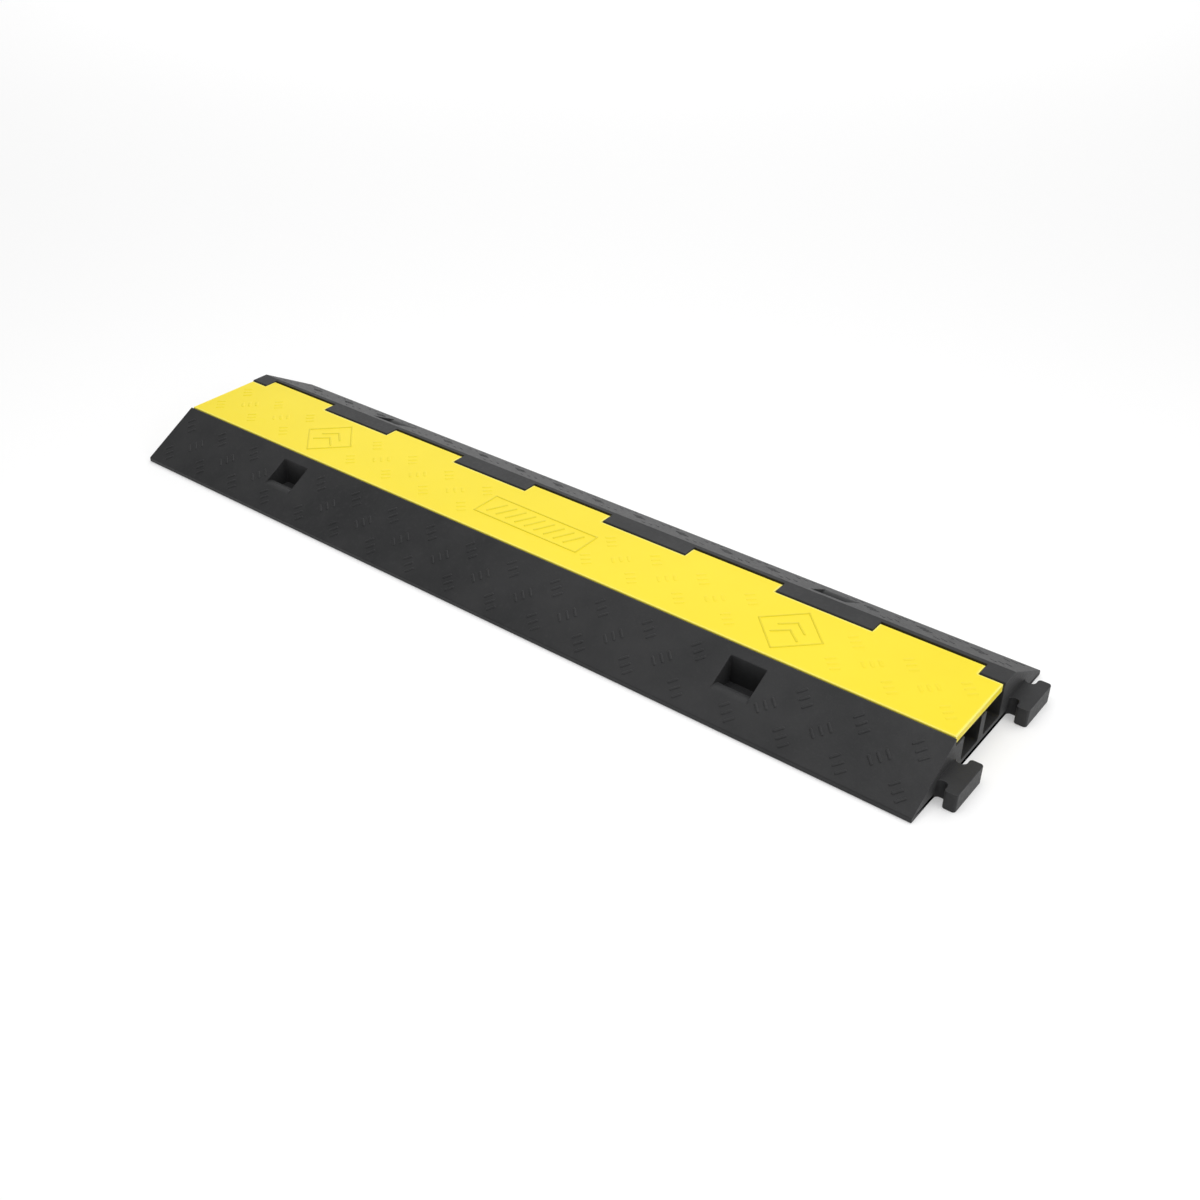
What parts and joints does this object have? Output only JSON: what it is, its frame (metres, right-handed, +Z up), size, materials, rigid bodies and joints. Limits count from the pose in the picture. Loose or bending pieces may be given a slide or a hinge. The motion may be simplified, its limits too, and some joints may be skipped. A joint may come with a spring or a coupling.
{
  "type": "cable protector ramp",
  "caption": "Low rubber ramp module with two cable channels under a hinged yellow lid, sloped sides and end connectors that join it to the next module.",
  "frame": {"origin": "centre of the base's rectangular footprint, on the floor", "axes": "+X along the cable channels towards the male connectors, +Y across the ramp towards the hinge, +Z up"},
  "size_m": [1.0224, 0.255, 0.045],
  "materials": {
    "black_rubber": "satin moulded rubber",
    "yellow_plastic": "moulded, slightly glossy",
    "rod_steel": "drawn bright bar"
  },
  "bodies": {
    "base": {"rubber_base": "black_rubber", "hinge_rod": "rod_steel"},
    "lid": {"cable_lid": "yellow_plastic"}
  },
  "joints": [
    {"name": "lid_hinge", "type": "hinge", "parent": "base", "child": "lid", "pos_m": [0, 0.0435, 0.0395], "axis": [-1, 0, 0], "range_deg": [0, 110]}
  ]
}
